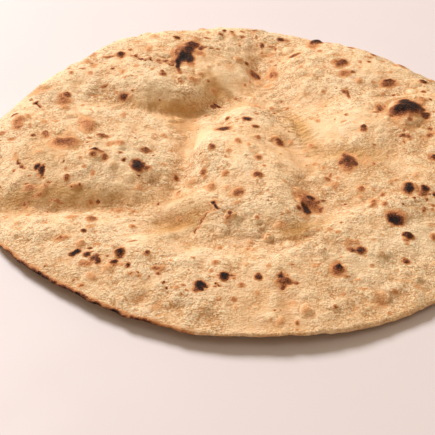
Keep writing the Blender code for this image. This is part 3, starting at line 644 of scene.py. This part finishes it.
def land_mark(mark, camera, tree):
    """The mark moved onto the crust, and how much longer it is there than it looks in depth."""
    place, normal = land(mark.x, mark.y, camera, tree)
    rise = -normal.y / normal.z
    stretch = 1 / max(1 + rise / math.tan(math.radians(CAMERA_ELEVATION)), 0.5)
    return mark._replace(x=place.x, y=place.y), stretch


def land_crack(crack, camera, tree):
    return crack._replace(points=[land(x, y, camera, tree)[0][:2] for x, y in crack.points])


# ---------------------------------------------------------------- the fine mesh


def solid_tree(solid):
    mesh = solid.data
    return BVHTree.FromPolygons([v.co for v in mesh.vertices], [p.vertices for p in mesh.polygons])


def read_outline(solid):
    """Distance from the middle to the rim for each sector of the turn, in millimetres."""
    reach, angle = polar(np.array([v.co for v in solid.data.vertices]) / MM)
    sector = np.round(angle / (2 * math.pi) * OUTLINE_SECTORS).astype(int) % OUTLINE_SECTORS
    return np.array([reach[sector == number].max() for number in range(OUTLINE_SECTORS)])


def around(values, angle):
    """A value for each angle, read from values given for each sector."""
    place = np.asarray(angle) / (2 * math.pi) * OUTLINE_SECTORS
    return np.interp(place, np.arange(OUTLINE_SECTORS), values, period=OUTLINE_SECTORS)


def ring_angles(ring):
    count = POINTS_PER_RING * ring
    return 2 * math.pi * np.arange(count) / count


def drop(tree, x, y, up):
    """Height of the solid's top (up is 1) or underside (up is -1) at a place, in millimetres."""
    place = tree.ray_cast(Vector((x * MM, y * MM, up)), Vector((0, 0, -up)))[0]
    return place.z / MM if place else math.nan


def disc_points(rings, tree, reach, up):
    """Points of a disc of rings, from its middle out to its edge, on one side of the solid."""
    points = [(0.0, 0.0, drop(tree, 0, 0, up))]
    for ring in range(1, rings + 1):
        angle = ring_angles(ring)
        edge = (around(reach, angle) - RIM_INSET_MM) * ring / rings
        for x, y in zip(edge * np.cos(angle), edge * np.sin(angle)):
            points.append((x, y, drop(tree, x, y, up)))
    return np.array(points)


def ring_start(ring):
    """Number of the first point of a ring in a disc."""
    return 1 + POINTS_PER_RING * ring * (ring - 1) // 2 if ring else 0


def stitch(upper, lower):
    """Triangles between two closed rows of point numbers, which may differ in length."""
    triangles = []
    above, below = 0, 0
    while above < len(upper) or below < len(lower):
        corner = [upper[above % len(upper)], lower[below % len(lower)]]
        if (above + 1) * len(lower) <= (below + 1) * len(upper):
            above += 1
            corner.append(upper[above % len(upper)])
        else:
            below += 1
            corner.append(lower[below % len(lower)])
        triangles.append(corner)
    return triangles


def disc_triangles(rings):
    """Triangles of a disc, wound to face up when seen from above."""
    triangles = [(0, 1 + step, 1 + (step + 1) % POINTS_PER_RING) for step in range(POINTS_PER_RING)]
    for ring in range(1, rings):
        inner = [ring_start(ring) + step for step in range(POINTS_PER_RING * ring)]
        outer = [ring_start(ring + 1) + step for step in range(POINTS_PER_RING * (ring + 1))]
        triangles += stitch(inner, outer)
    return np.array(triangles)


def relax(heights, triangles, passes, fixed):
    """Rounds off the facets: each height moves to the mean of its neighbours' heights."""
    pairs = np.concatenate([triangles[:, [0, 1]], triangles[:, [1, 2]], triangles[:, [2, 0]]])
    pairs = np.concatenate([pairs, pairs[:, ::-1]])
    count = np.bincount(pairs[:, 0], minlength=len(heights))
    for _ in range(passes):
        total = np.bincount(pairs[:, 0], weights=heights[pairs[:, 1]], minlength=len(heights))
        heights = np.where(fixed, heights, total / count)
    return heights


def move_rim(points, outer):
    """The points of a disc, moved out or in by the rim's waver, which fades out inwards."""
    reach, angle = polar(points)
    circle = np.column_stack([np.cos(angle), np.sin(angle), np.zeros(len(angle))]) * 100
    waver = layered_noise(circle, RIM_WAVER, RIM_WAVER_SEED)
    share = reach / around(outer, angle)
    moved = points.copy()
    moved[:, :2] *= (1 + waver * share**9 / np.maximum(reach, 1))[:, None]
    return moved


def domes(points, apart_mm, seed):
    """Rounded domes this far apart with sharp grooves between them, about -0.5 to 0.5."""
    shift = Vector((2.3 * seed, 4.1 * seed, -1.9 * seed))
    middle = [noise.voronoi(Vector(point) / apart_mm + shift)[0][0] for point in points]
    return 0.5 - (np.array(middle) / PEBBLE_REACH) ** 2


def pebble_relief(points, rough):
    warp = [noise_at(points, 3.5, PEBBLE_WARP_SEED + n) for n in range(3)]
    warped = points + PEBBLE_WARP_MM * np.column_stack(warp)
    relief = np.zeros(len(points))
    for number, (apart_mm, height_mm) in enumerate(PEBBLES):
        relief += height_mm * rough * domes(warped, apart_mm, PEBBLES_SEED + number)
    return relief


def undulation_relief(points, rough):
    return rough * layered_noise(points, UNDULATION, UNDULATION_SEED)


# Places where the skin is smooth: x, y and reach.
SMOOTH_PLACES = (
    (-13, 52, 13), (-27, 22, 9), (-20, 2, 9), (12, -10, 13), (31, 12, 10), (8, -92, 16),
    (55, 50, 10), (-38, -55, 8),
)

SMOOTHED = 0.6  # how much weaker the pebbled skin is there
ROUGH_RANGE = (0.35, 1.4)  # least and most strength of the pebbled skin

# Places where the dough is thin and yellowish, some of them steep faces and pits where this is painted
# shade: x, y, length, width and turn in degrees.
THIN_AND_SHADED_PLACES = (
    (-26, -46, 8, 6, 0), (-12, 43, 6, 6, 60), (-30, 30, 18, 3, 0), (22, 12, 18, 4, -75),
    (19, -51, 8, 3, 25), (40, -8, 11, 5, -10), (-70, -30, 26, 4, 0), (58, -92, 12, 7, 20),
)

# Places that are deeper (below 0) or paler (above 0), partly from uneven baking and partly painted
# shade and painted light: x, y, reach and strength.
TONES_AND_PAINTED_LIGHT = (
    (-77, -9, 16, -0.6), (-57, -20, 9, 0.4), (-40, -12, 10, 0.5), (-28, 23, 8, -0.7),
    (-79, -33, 12, -0.5), (-35, -30, 9, -0.4), (49, -17, 13, -0.5), (60, -53, 13, 0.7),
    (37, -66, 12, 0.6), (17, -54, 7, -0.8), (65, 53, 14, -0.4), (-34, 34, 10, 0.5),
    (-2, -48, 9, 0.4), (-52, -4, 12, 0.4), (-16, 9, 8, -0.4), (-12, 46, 8, -0.2),
    (-19, -46, 8, -0.8), (-29, -57, 8, -0.4), (-70, -40, 8, 0.4), (-95, -22, 9, 0.5),
    (30, 28, 10, -0.3), (10, 54, 10, -0.3), (-24, -32, 7, -0.4),
)


def strongest(points, places):
    """How far inside the nearest of some oval places each point is: 1 in its middle."""
    return np.max([oval(points, *place) for place in places], axis=0)


def roughness_of_dough(points):
    """How strong the pebbled skin is: about 1 in most places, and less in the smooth ones."""
    smooth = strongest(points, [(x, y, reach, reach) for x, y, reach in SMOOTH_PLACES])
    patchy = layered_noise(points, PATCHES, PATCHES_SEED)
    return np.clip(1.0 - SMOOTHED * smooth + patchy, *ROUGH_RANGE)


def tone_and_painted_light_of_dough(points):
    return sum(strength * oval(points, x, y, reach, reach) for x, y, reach, strength in TONES_AND_PAINTED_LIGHT)


# How many marks of each kind are scattered at random.
Scatter = namedtuple("Scatter", "specks blisters spots")
TOP_SCATTER = Scatter(170, 520, 60)
UNDERSIDE_SCATTER = Scatter(90, 160, 90)
UNDERSIDE_BURNS = 26

# How far from the middle they may lie, and how far specks and spots stay from a placed mark.
SPECK_REACH_MM = 97
BLISTER_REACH_MM = 96
SPOT_REACH_MM = 95
UNDERSIDE_BURN_REACH_MM = 88
SPECK_GAP_MM = 2
SPOT_GAP_MM = 3


def scatter(rng, count, reach_mm):
    """Random places inside a circle."""
    radius = reach_mm * np.sqrt(rng.uniform(0, 1, count))
    turn = rng.uniform(0, 2 * math.pi, count)
    return zip(radius * np.cos(turn), radius * np.sin(turn))


def add_scattered_marks(crust, rng, numbers, clear_of=()):
    """Small marks all over: dark specks, blisters with a painted highlight ring and painted shade at
    the foot, and brown spots.
    """
    def free(x, y, gap):
        return all(math.hypot(x - m.x, y - m.y) > gap + m.wide / 2 for m, _ in clear_of)

    for x, y in scatter(rng, numbers.specks, SPECK_REACH_MM):
        size = rng.uniform(0.5, 1.1)
        wide, burn = size * rng.uniform(1, 1.4), rng.uniform(0.3, 0.9)
        mark = Mark(x, y, wide, size, burn, turn=rng.uniform(0, 180))
        if free(x, y, SPECK_GAP_MM):
            crust.add_mark(mark)
    for x, y in scatter(rng, numbers.blisters, BLISTER_REACH_MM):
        size = 1.5 + 2.6 * rng.uniform(0, 1) ** 2
        burn = 0.07 + 0.25 * rng.uniform(0, 1) ** 3
        lift = size * rng.uniform(0.13, 0.25)
        wide = size * rng.uniform(1, 1.4)
        crust.add_mark(Mark(x, y, wide, size, burn, lift, rng.uniform(0, 180)))
    for x, y in scatter(rng, numbers.spots, SPOT_REACH_MM):
        size = rng.uniform(1.0, 2.0)
        burn, lift = rng.uniform(0.25, 0.5), rng.uniform(0, 0.4)
        wide = size * rng.uniform(1, 1.5)
        mark = Mark(x, y, wide, size, burn, lift, rng.uniform(0, 180))
        if free(x, y, SPOT_GAP_MM):
            crust.add_mark(mark)


# The flat map of the mesh, in shares of its side.
TOP_MAP_MIDDLE = 0.43
TOP_MAP_REACH = 0.42
UNDER_MAP_MIDDLE = 0.845
UNDER_MAP_REACH = 0.145
MAP_ROW_MM = 1.2  # width of each row of the rim on the map

SIDE_ROUGHNESS = 0.8  # strength of the pebbled skin on the rim and the underside
RIM_RELIEF = 0.25  # strength of the top's relief at the very rim
SHORE = 0.05  # how far in from the rim it is weaker, as a share of the radius
UNDERSIDE_RISE_MM = 0.4  # mean height of the underside's relief


def build_top(tree, outer, camera, rng):
    """The top's points in millimetres, its triangles, and the values stored for its crust."""
    top = disc_points(TOP_RINGS, tree, outer, 1)
    triangles = disc_triangles(TOP_RINGS)
    reach, angle = polar(top)
    share = reach / around(outer, angle)
    edge = np.arange(len(top)) >= ring_start(TOP_RINGS)
    top[:, 2] = relax(top[:, 2], triangles, SMOOTHING_PASSES, edge)

    rough = roughness_of_dough(top)
    inland = RIM_RELIEF + (1 - RIM_RELIEF) * np.clip((1 - share) / SHORE, 0, 1)
    top[:, 2] += (fold_relief(top) + undulation_relief(top, rough)) * inland

    crust = Crust(top)
    crust.toast_edge(share)
    smooth_top = BVHTree.FromPolygons((top * MM).tolist(), triangles.tolist())
    marks = [land_mark(Mark(*given), camera, smooth_top) for given in MARKS]
    for mark, stretch in marks:
        crust.add_mark(mark, stretch)
    for crack in CRACKS:
        crust.add_crack(land_crack(crack, camera, smooth_top))
    add_scattered_marks(crust, rng, TOP_SCATTER, marks)
    top[:, 2] += (pebble_relief(top, rough) + crust.lift) * inland
    hollow = relax(top[:, 2], triangles, HOLLOW_PASSES, edge) - top[:, 2]

    top = move_rim(top, outer)
    values = {
        "burn": crust.burn,
        "rough": rough,
        "hollow": hollow / HOLLOW_MM,
        "painted_blister_light": crust.painted_blister_light,
        "tone_and_painted_light": tone_and_painted_light_of_dough(top),
        "thin_and_shaded": strongest(top, THIN_AND_SHADED_PLACES),
    }
    return top, triangles, values


def build_underside(tree, outer, rng):
    """The underside's points in millimetres, and the values stored for its crust."""
    under = disc_points(UNDERSIDE_RINGS, tree, outer, -1)
    crust = Crust(under)
    rough = np.full(len(under), SIDE_ROUGHNESS)
    add_scattered_marks(crust, rng, UNDERSIDE_SCATTER)
    for x, y in scatter(rng, UNDERSIDE_BURNS, UNDERSIDE_BURN_REACH_MM):
        size = rng.uniform(3, 8)
        wide, burn = size * rng.uniform(1, 1.6), rng.uniform(0.7, 1.4)
        crust.add_mark(Mark(x, y, wide, size, burn, turn=rng.uniform(0, 180)))
    pebbles = pebble_relief(under, rough)
    relief = undulation_relief(under, rough) + pebbles + UNDERSIDE_RISE_MM
    under[:, 2] += np.clip(relief, 0, None)
    values = {"burn": crust.burn, "rough": rough, "hollow": pebbles / HOLLOW_MM, "painted_blister_light": crust.painted_blister_light}
    return move_rim(under, outer), values


def build_rim(top_edge, under_edge):
    """Rows of points round the rim, from the top's edge to the underside's edge."""
    angle = ring_angles(TOP_RINGS)
    bottom = np.interp(angle, ring_angles(UNDERSIDE_RINGS), under_edge[:, 2], period=2 * math.pi)
    bulge = RIM_INSET_MM * (1 + 0.25 * noise_at(top_edge, 3, BULGE_SEED))
    middle, half = (top_edge[:, 2] + bottom) / 2, (top_edge[:, 2] - bottom) / 2
    rows = []
    for row in range(1, RIM_ROWS + 1):
        phase = math.pi * row / (RIM_ROWS + 1)
        out = bulge * math.sin(phase)
        x, y = top_edge[:, 0] + out * np.cos(angle), top_edge[:, 1] + out * np.sin(angle)
        rows.append(np.column_stack([x, y, middle + half * math.cos(phase)]))
    return np.concatenate(rows)


def join_triangles(top_triangles, top_count):
    """Triangles of the whole mesh: the top, the rows round the rim, and the underside."""
    round_rim = np.arange(POINTS_PER_RING * TOP_RINGS)
    under_first = top_count + len(round_rim) * RIM_ROWS
    under_edge = np.arange(POINTS_PER_RING * UNDERSIDE_RINGS)
    rows = [ring_start(TOP_RINGS) + round_rim]
    rows += [top_count + len(round_rim) * row + round_rim for row in range(RIM_ROWS)]
    rows.append(under_first + ring_start(UNDERSIDE_RINGS) + under_edge)
    triangles = [top_triangles]
    triangles += [np.array(stitch(list(a), list(b))) for a, b in zip(rows, rows[1:])]
    triangles.append(disc_triangles(UNDERSIDE_RINGS)[:, ::-1] + under_first)
    return np.concatenate(triangles)


def build_bread(solid, camera):
    rng = np.random.default_rng(SEED)
    tree = solid_tree(solid)
    outer = read_outline(solid)
    top, top_triangles, top_values = build_top(tree, outer, camera, rng)
    under, under_values = build_underside(tree, outer, rng)
    top_edge = top[ring_start(TOP_RINGS):]
    rim = build_rim(top_edge, under[ring_start(UNDERSIDE_RINGS):])
    rim_values = {
        "burn": rim_burn_and_shade(rim, top_values["burn"][ring_start(TOP_RINGS):]),
        "rough": np.full(len(rim), SIDE_ROUGHNESS),
    }

    mesh = bpy.data.meshes.new("bread")
    points = np.concatenate([top, rim, under])
    mesh.from_pydata(points * MM, [], join_triangles(top_triangles, len(top)).tolist())
    row = np.repeat(np.arange(RIM_ROWS + 2), [len(top)] + [len(top_edge)] * RIM_ROWS + [len(under)])
    add_bake_map(mesh, points, row, outer)
    for name, on_top in top_values.items():
        on_rim = rim_values.get(name, np.zeros(len(rim)))
        on_underside = under_values.get(name, np.zeros(len(under)))
        stored = np.concatenate([on_top, on_rim, on_underside]).astype(np.float32)
        mesh.attributes.new(name, "FLOAT", "POINT").data.foreach_set("value", stored)
    mesh.shade_smooth()
    bread = bpy.data.objects.new("bread", mesh)
    bpy.context.scene.collection.objects.link(bread)
    return bread


def add_bake_map(mesh, points, row, outer):
    """A flat map of the mesh: the top with the rim's rows round it, and the smaller underside.

    row is each point's row of the rim, from 0 on the top to RIM_ROWS + 1 on the underside.
    """
    reach, angle = polar(points)
    laid_out = np.where(row > 0, around(outer, angle) + MAP_ROW_MM * row, reach)
    direction = np.column_stack([np.cos(angle), np.sin(angle)])
    top_place = TOP_MAP_MIDDLE + TOP_MAP_REACH * direction * (laid_out / laid_out.max())[:, None]
    under_place = UNDER_MAP_MIDDLE + UNDER_MAP_REACH * direction * (reach / reach.max())[:, None]
    corner = np.empty(len(mesh.loops), dtype=np.int32)
    mesh.loops.foreach_get("vertex_index", corner)
    on_underside = (row[corner].reshape(-1, 3) > RIM_ROWS).all(axis=1).repeat(3)
    places = np.where(on_underside[:, None], under_place[corner], top_place[corner])
    bake_map = mesh.uv_layers.new(name="OFBake")
    bake_map.data.foreach_set("uv", places.astype(np.float32).ravel())


def rim_burn_and_shade(points, edge_burn):
    """The rim is darker towards its lower edge, most at the front left and here and there elsewhere:
    scorching, with painted shade under the rim.
    """
    low = np.repeat(np.arange(1, RIM_ROWS + 1), len(edge_burn)) / RIM_ROWS
    patches = np.clip(noise_at(points, 9, RIM_PATCHES_SEED) + 0.2, 0, 1)
    grain = 1 + 0.6 * noise_at(points, 1.4, RIM_GRAIN_SEED)
    # Darker towards the lower rows: partly scorching, partly painted shade under the rim.
    scorched = (1.3 * toasted(points) * low**0.6 + 0.55 * patches * low**1.5) * grain
    return np.maximum(scorched, np.tile(edge_burn, RIM_ROWS) * 0.8)


# ---------------------------------------------------------------- materials


def colour(red, green, blue):
    """A colour given in 0 to 255 display values, as the linear values that shaders take."""
    shown = np.array([red, green, blue]) / 255
    linear = np.where(shown <= 0.04045, shown / 12.92, ((shown + 0.055) / 1.055) ** 2.4)
    return (*linear.tolist(), 1.0)


class Tree:
    """Short calls for making the nodes of a material."""

    def __init__(self, name):
        self.material = bpy.data.materials.new(name)
        self.material.use_nodes = True
        self.nodes = self.material.node_tree.nodes
        self.links = self.material.node_tree.links
        self.shader = self.nodes["Principled BSDF"]
        self.place = self.nodes.new("ShaderNodeTexCoord").outputs["Object"]

    def feed(self, socket, value):
        if isinstance(value, bpy.types.NodeSocket):
            self.links.new(value, socket)
        else:
            socket.default_value = value

    def math(self, operation, a, b=0.0):
        node = self.nodes.new("ShaderNodeMath")
        node.operation = operation
        self.feed(node.inputs[0], a)
        self.feed(node.inputs[1], b)
        return node.outputs[0]

    def drawn_out(self, along_x):
        """Places with lengths along X divided, so that noise in them is drawn out that way."""
        node = self.nodes.new("ShaderNodeMapping")
        self.links.new(self.place, node.inputs["Vector"])
        node.inputs["Scale"].default_value = (1 / along_x, 1, 1)
        return node.outputs["Vector"]

    def noise(self, distance_mm, detail=2.0, roughness=0.5, distortion=0.0, place=None):
        """Noise from 0 to 1 with bumps this far apart."""
        node = self.nodes.new("ShaderNodeTexNoise")
        self.links.new(place or self.place, node.inputs["Vector"])
        node.inputs["Scale"].default_value = 1 / (distance_mm * MM)
        node.inputs["Detail"].default_value = detail
        node.inputs["Roughness"].default_value = roughness
        node.inputs["Distortion"].default_value = distortion
        return node.outputs["Fac"]

    def stored(self, name):
        node = self.nodes.new("ShaderNodeAttribute")
        node.attribute_name = name
        return node.outputs["Fac"]

    def step(self, value, low, high, to_low=0.0, to_high=1.0):
        """Smooth change from to_low to to_high as the value goes from low to high."""
        node = self.nodes.new("ShaderNodeMapRange")
        node.interpolation_type = "SMOOTHSTEP"
        for number, given in enumerate((value, low, high, to_low, to_high)):
            self.feed(node.inputs[number], given)
        return node.outputs[0]

    def mix(self, share, a, b, blend="MIX"):
        node = self.nodes.new("ShaderNodeMix")
        node.data_type = "RGBA"
        node.blend_type = blend
        self.feed(node.inputs["Factor"], share)
        self.feed(node.inputs[6], a)
        self.feed(node.inputs[7], b)
        return node.outputs[2]

    def tint(self, shade, value, low, high, share, other, strength=None):
        """The shade, mixed with up to this share of another one as value goes from low to high."""
        amount = self.step(value, low, high, 0.0, share)
        if strength is not None:
            amount = self.math("MULTIPLY", amount, strength)
        return self.mix(amount, shade, other)

    def ramp(self, value, stops):
        node = self.nodes.new("ShaderNodeValToRGB")
        self.links.new(value, node.inputs[0])
        elements = node.color_ramp.elements
        for number, (position, shade) in enumerate(stops):
            element = elements[number] if number < 2 else elements.new(position)
            element.position = position
            element.color = shade
        return node.outputs["Color"]

    def cells(self, apart_mm):
        """Rounded domes this far apart, with grooves between them: 1 on the domes."""
        node = self.nodes.new("ShaderNodeTexVoronoi")
        self.links.new(self.place, node.inputs["Vector"])
        node.feature = "SMOOTH_F1"
        node.inputs["Scale"].default_value = 1 / (apart_mm * MM)
        node.inputs["Smoothness"].default_value = 0.3
        return self.math("SUBTRACT", 1.0, node.outputs["Distance"])

    def bump(self, height, distance_mm, normal=None):
        """A relief: height goes from 0 to 1, and 1 stands this high."""
        node = self.nodes.new("ShaderNodeBump")
        node.inputs["Distance"].default_value = distance_mm * MM
        node.inputs["Strength"].default_value = 1.0
        self.links.new(height, node.inputs["Height"])
        if normal:
            self.links.new(normal, node.inputs["Normal"])
        return node.outputs["Normal"]


DOUGH = colour(240, 196, 148)
DOUGH_PALE = colour(250, 217, 180)
DOUGH_DEEP = colour(224, 174, 120)
# Yellow of thin dough, also used as painted shade on some steep faces and pits.
DOUGH_THIN_AND_SHADED = colour(206, 154, 84)
PAINTED_HIGHLIGHT = colour(255, 229, 190)  # painted highlight on every high place, large or small
PAINTED_SHADE = colour(198, 138, 80)  # painted shade in every low place
BRAN = colour(176, 110, 58)  # of the bran's fine flecks
DEEPER_TONE_AND_SHADE = colour(219, 202, 172)  # what a deeper place is multiplied by: deeper baking, and painted shade
SCORCH = (
    (0.00, colour(238, 188, 132)),
    (0.14, colour(224, 163, 110)),
    (0.27, colour(200, 128, 78)),
    (0.42, colour(162, 90, 50)),
    (0.58, colour(112, 60, 34)),
    (0.76, colour(40, 23, 18)),
    (1.00, colour(12, 9, 11)),
)
SCORCH_TOP = 1.62  # the burn value at the top of the colours above
ASH = colour(96, 84, 84)
ASH_SHARE = 0.15  # how much of it is mixed into the blackest places

# Heights of the material's relief.
GRAIN_MM = 0.42
WRINKLE_MM = 0.4
FLAKE_MM = 1.0  # of the broken skin where it is burnt


def grain_height(t):
    """The skin's grain: 1 on its domes and 0 in the grooves between them."""
    fine = t.step(t.noise(0.7, 3, 0.7, 0.2), 0.28, 0.72)
    return t.math("ADD", t.math("MULTIPLY", t.cells(1.05), 0.45), t.math("MULTIPLY", fine, 0.55))


def dough_shade(t, grain, wrinkle, rough):
    """The colour of the dough, before it is scorched, with painted shade and painted highlights in it.
    """
    strong = t.math("POWER", rough, 1.5)
    shade = t.tint(DOUGH, t.noise(12, 4, 0.55), 0.38, 0.66, 1.0, DOUGH_PALE)
    shade = t.tint(shade, t.noise(26, 3, 0.5), 0.45, 0.72, 0.55, DOUGH_DEEP)
    # Painted shade in the large hollows, and a painted highlight on the large crests.
    hollow = t.stored("hollow")
    shade = t.tint(shade, hollow, 0.0, 1.0, 0.4, PAINTED_SHADE)
    shade = t.tint(shade, hollow, 0.0, -1.0, 0.5, PAINTED_HIGHLIGHT)
    # Painted highlights on the grain's domes and the wrinkles' crests, and painted shade in their
    # grooves.
    shade = t.tint(shade, grain, 0.51, 0.70, 0.75, PAINTED_HIGHLIGHT, strong)
    shade = t.tint(shade, grain, 0.47, 0.26, 0.7, PAINTED_SHADE, strong)
    shade = t.tint(shade, wrinkle, 0.52, 0.66, 0.45, PAINTED_HIGHLIGHT, strong)
    shade = t.tint(shade, wrinkle, 0.48, 0.34, 0.5, PAINTED_SHADE, strong)
    # Yellow of thin dough, which is also painted shade on some steep faces and pits.
    shade = t.mix(t.math("MULTIPLY", t.stored("thin_and_shaded"), 0.75), shade, DOUGH_THIN_AND_SHADED)
    # Painted highlight in a ring on each blister's side, and painted shade at its foot.
    painted_blister_light = t.stored("painted_blister_light")
    shade = t.tint(shade, painted_blister_light, 0.1, 1.0, 0.35, PAINTED_HIGHLIGHT)
    shade = t.tint(shade, painted_blister_light, -0.1, -0.9, 0.7, PAINTED_SHADE)
    shade = t.tint(shade, t.noise(0.6, 2, 0.5), 0.68, 0.75, 0.5, BRAN)
    # Deeper or paler patches: partly uneven baking, partly painted shade and painted light.
    tone_and_painted_light = t.stored("tone_and_painted_light")
    shade = t.tint(shade, tone_and_painted_light, 0.0, 1.0, 0.8, PAINTED_HIGHLIGHT)
    return t.mix(t.step(tone_and_painted_light, 0.0, -1.0), shade, DEEPER_TONE_AND_SHADE, "MULTIPLY")


def scorched_shade(t, burn):
    scorched = t.ramp(t.math("DIVIDE", burn, SCORCH_TOP), SCORCH)
    ashy = t.step(burn, 0.8, 1.2, 0.0, ASH_SHARE)
    return t.tint(scorched, t.noise(0.6, 2, 0.6), 0.44, 0.62, 1.0, ASH, ashy)


def crust_material():
    t = Tree("crust")
    rough = t.stored("rough")
    burn = t.math("MULTIPLY", t.stored("burn"), t.step(t.noise(0.6, 3, 0.6), 0.3, 0.7, 0.7, 1.25))
    grain = grain_height(t)
    wrinkle = t.noise(1.05, 3, 0.6, 0.5, t.drawn_out(2.3))
    shade = dough_shade(t, grain, wrinkle, rough)
    shade = t.mix(t.step(burn, 0.04, 0.22), shade, scorched_shade(t, burn))
    t.feed(t.shader.inputs["Base Color"], shade)

    gloss = t.step(t.noise(6, 3, 0.5), 0.3, 0.7, 0.60, 0.78)
    gloss = t.math("MULTIPLY", gloss, t.step(burn, 0.7, 1.1, 1.0, 1.25))
    t.feed(t.shader.inputs["Roughness"], gloss)
    t.shader.inputs["Specular IOR Level"].default_value = 0.22
    t.shader.inputs["Subsurface Weight"].default_value = 0.06
    t.shader.inputs["Subsurface Radius"].default_value = (1.0, 0.5, 0.25)
    t.shader.inputs["Subsurface Scale"].default_value = 1.5 * MM

    normal = t.bump(t.math("MULTIPLY", grain, rough), GRAIN_MM)
    normal = t.bump(wrinkle, WRINKLE_MM, normal)
    flakes = t.math("MULTIPLY", t.noise(0.7, 4, 0.7), t.step(burn, 0.35, 0.9))
    t.feed(t.shader.inputs["Normal"], t.bump(flakes, FLAKE_MM, normal))
    return t.material


def floor_material():
    t = Tree("floor")
    darker = tuple(FLOOR_DARKER * part for part in FLOOR_COLOUR)
    shade = t.mix(t.noise(180, 3, 0.5), (*FLOOR_COLOUR, 1), (*darker, 1))
    t.feed(t.shader.inputs["Base Color"], shade)
    t.feed(t.shader.inputs["Roughness"], t.step(t.noise(40, 2, 0.5), 0.3, 0.7, 0.55, 0.62))
    return t.material


def add_floor():
    half = FLOOR_SIZE / 2
    mesh = bpy.data.meshes.new("floor")
    corners = [(-half, -half, 0), (half, -half, 0), (half, half, 0), (-half, half, 0)]
    mesh.from_pydata(corners, [], [(0, 1, 2, 3)])
    floor = bpy.data.objects.new("floor", mesh)
    floor.data.materials.append(floor_material())
    bpy.context.scene.collection.objects.link(floor)
    floor.location.z = cad_low[2] - FLOOR_GAP


# ---------------------------------------------------------------- the scene

camera = add_camera()
add_lights()
add_floor()

bread = build_bread(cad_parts["chapati"], camera)
bread.data.materials.append(crust_material())
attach(bread, "root")
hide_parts("chapati")
